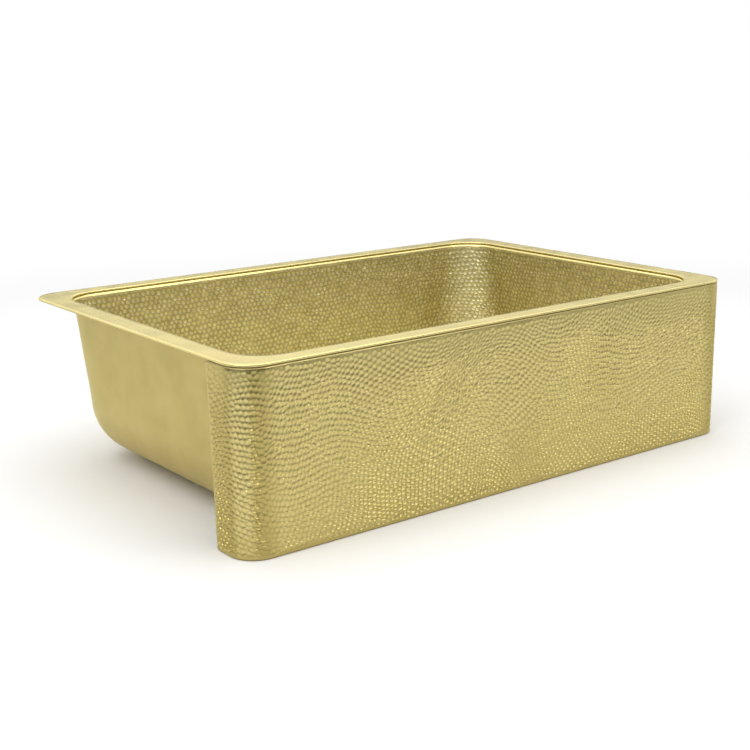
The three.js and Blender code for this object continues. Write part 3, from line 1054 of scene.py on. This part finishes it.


# Ridges between the hammer's dishes, broken up a little: painted shade on them makes each dish read as a
# bright spot
def makeRidgeShadeMask():
    inputs = [("From", "Float", 0.3), ("Amount", "Float", 0.6), ("Patches", "Float", 0.03)]
    group, given, put = newGroup("ridgeShadeMask", inputs, [("Mask", "Float")])
    ridge = addNode(group, "Attribute", {"attribute_name": "hammerRidge"}).outputs["Fac"]
    high = mapRange(group, ridge, given["From"], 1.0, kind="SMOOTHSTEP")
    where = addNode(group, "TexCoord").outputs["Object"]
    kept = mapRange(group, blotches(group, where, given["Patches"], 3), 0.3, 0.6, newLow=0.75)
    group.links.new(multiply(group, high, multiply(group, kept, given["Amount"])), put["Mask"])
    return group


# Edges rubbed bright, from how sharply the surface bends
def makeRubbedEdges():
    inputs = [("Bend", "Float", 0.06), ("Amount", "Float", 0.6)]
    group, given, put = newGroup("rubbedEdges", inputs, [("Mask", "Float")])
    bend = addNode(group, "NewGeometry").outputs["Pointiness"]
    over = addNode(group, "Math", {"operation": "SUBTRACT"}, {0: bend, 1: 0.5}).outputs[0]
    group.links.new(mapRange(group, over, 0.0, given["Bend"], newHigh=given["Amount"]), put["Mask"])
    return group


mopMarks = makeMopMarks()
agedTone = makeAgedTone()
ridgeShadeMask = makeRidgeShadeMask()
rubbedEdges = makeRubbedEdges()

# Every brass starts from the plain sheet and changes what is its own
sheetBrass = {
    "agedAmount": 0.8,
    "paintedShadeColour": (0.42, 0.34, 0.11),  # colour of the painted shade on the ridges and in the shaded places
    "ridges": 0,  # how strongly painted shade darkens the ridges between the hammer's dishes, which also makes them rougher
    "ridgeFrom": 0.3,  # the ridge value at which that begins
    "shade": 0.8,  # how strongly painted shade darkens the shaded places
    "rubbed": (0.84, 0.76, 0.44),
    "metallic": 1.0,
    "grazing": (1, 0.95, 0.8),
    "roughness": 0.38,
    "cleaner": 0.04,  # how much smoother the cleanest places are
    "dustier": 0.05,  # how much rougher the dustiest are
    "ridgeRoughness": 0.15,  # and the ridges
    "marks": 0.002,
    "markStretch": (1, 1, 0.35),
    "bump": 0.1,
    "bumpHeight": 0.4 * mm,
}
brassLooks = {
    "rimBrass": sheetBrass
    | {
        "fresh": (0.77, 0.66, 0.27),
        "aged": (0.72, 0.605, 0.24),
        "agedAmount": 0.7,
        "cloud": 0.05,
        "rubbed": (0.84, 0.73, 0.36),
        "roughness": 0.24,
        "grazing": (0.93, 0.91, 0.79),
        "marks": 0.0016,
        "bump": 0.08,
    },
    "apronBrass": sheetBrass
    | {
        "fresh": (0.67, 0.57, 0.24),
        "aged": (0.62, 0.52, 0.205),
        "agedAmount": 0.5,
        "cloud": 0.08,
        # painted shade on the ridges between the dishes
        "ridges": 0.6,
        "ridgeFrom": 0.15,
        "rubbed": (0.84, 0.73, 0.36),
        "roughness": 0.29,
        "marks": 0.0012,
        "bump": 0.06,
    },
    "bowlBrass": sheetBrass
    | {
        "fresh": (0.98, 0.9, 0.54),
        "aged": (0.68, 0.6, 0.33),
        "cloud": 0.009,
        # painted shade on the ridges, so that each dish reads as a bright dot
        "paintedShadeColour": (0.4, 0.355, 0.17),
        "ridges": 0.95,
        "ridgeFrom": -0.1,
        "roughness": 0.34,
        "marks": 0.0012,
        "bump": 0.06,
    },
    "skinBrass": sheetBrass  # the bowl's outside, not hammered, in a darker brass
    | {
        "fresh": (0.54, 0.45, 0.17),
        "aged": (0.48, 0.4, 0.145),
        "cloud": 0.06,
    },
    "paintedShadeSeamBrass": sheetBrass  # in the folds and under the rim: darker brass that paints the shadow line under the rim and a dark line at the foot
    | {
        "fresh": (0.52, 0.43, 0.19),
        "aged": (0.42, 0.35, 0.15),
        "agedAmount": 0.6,
        "cloud": 0.03,
        "shade": 0,
        # darker on the folds' sharp bends: painted shade
        "rubbed": (0.3, 0.24, 0.1),
        "roughness": 0.5,
        "metallic": 0.9,
    },
    "stayBrass": sheetBrass
    | {
        "fresh": (0.55, 0.45, 0.2),
        "aged": (0.4, 0.31, 0.13),
        "cloud": 0.04,
        "rubbed": (0.62, 0.52, 0.26),
        "roughness": 0.42,
        "marks": 0.0015,
        "bump": 0.12,
    },
}


def coloured(colour):
    return (*colour, 1)


def makeBrass(name, look):
    material = bpy.data.materials.new(name)
    material.use_nodes = True
    tree = material.node_tree
    principled = tree.nodes["Principled BSDF"]
    principled.inputs["Metallic"].default_value = look["metallic"]
    principled.inputs["Specular Tint"].default_value = coloured(look["grazing"])

    tones = {"Fresh": coloured(look["fresh"]), "Aged": coloured(look["aged"])}
    tones |= {"Cloud": look["cloud"], "Amount": look["agedAmount"]}
    tone = placeGroup(tree, agedTone, tones)["Color"]
    ridges = placeGroup(tree, ridgeShadeMask, {"From": look["ridgeFrom"], "Amount": look["ridges"]})["Mask"]
    edges = placeGroup(tree, rubbedEdges, {})["Mask"]
    # painted shade: the ridge mask and the shade attribute mix in the dark colour; the edge mask mixes in
    # the rubbed colour
    shade = addNode(tree, "Attribute", {"attribute_name": "shade"}).outputs["Fac"]
    shaded = multiply(tree, shade, look["shade"])
    for mask, colour in ((ridges, look["paintedShadeColour"]), (edges, look["rubbed"]), (shaded, look["paintedShadeColour"])):
        tone = mixColours(tree, mask, tone, coloured(colour))
    tree.links.new(tone, principled.inputs["Base Color"])

    marks = placeGroup(tree, mopMarks, {"Size": look["marks"], "Stretch": look["markStretch"]})
    smoothest = look["roughness"] - look["cleaner"]
    roughest = look["roughness"] + look["dustier"]
    rough = mapRange(tree, marks["Tone"], 0.3, 0.7, smoothest, roughest)
    factors = {0: ridges, 1: look["ridgeRoughness"], 2: rough}
    rough = addNode(tree, "Math", {"operation": "MULTIPLY_ADD"}, factors).outputs[0]
    tree.links.new(rough, principled.inputs["Roughness"])
    height = {"Strength": look["bump"], "Distance": look["bumpHeight"], "Height": marks["Height"]}
    bump = addNode(tree, "Bump", (), height).outputs[0]
    tree.links.new(bump, principled.inputs["Normal"])
    return material


brass = {name: makeBrass(name, look) for name, look in brassLooks.items()}
print("finishes mixed")

hammeredBowl = buildBowl(brass["bowlBrass"], brass["skinBrass"], brass["rimBrass"])
hammeredApron = buildApron(brass["apronBrass"], brass["paintedShadeSeamBrass"])
rimPlate = buildRim(brass["rimBrass"], brass["paintedShadeSeamBrass"])
for piece, node, slot in (
    (hammeredBowl, "basin", "bowl_brass"),
    (hammeredApron, "apron_panel", "apron_brass"),
    (rimPlate, "rim_frame", "rim_brass"),
):
    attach(piece, "root")
    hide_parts(node)
for name in ("apron_stay_left", "apron_stay_centre", "apron_stay_right"):
    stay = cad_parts[name]
    stay.data.materials.clear()
    stay.data.materials.append(brass["stayBrass"])
print("pieces in place")
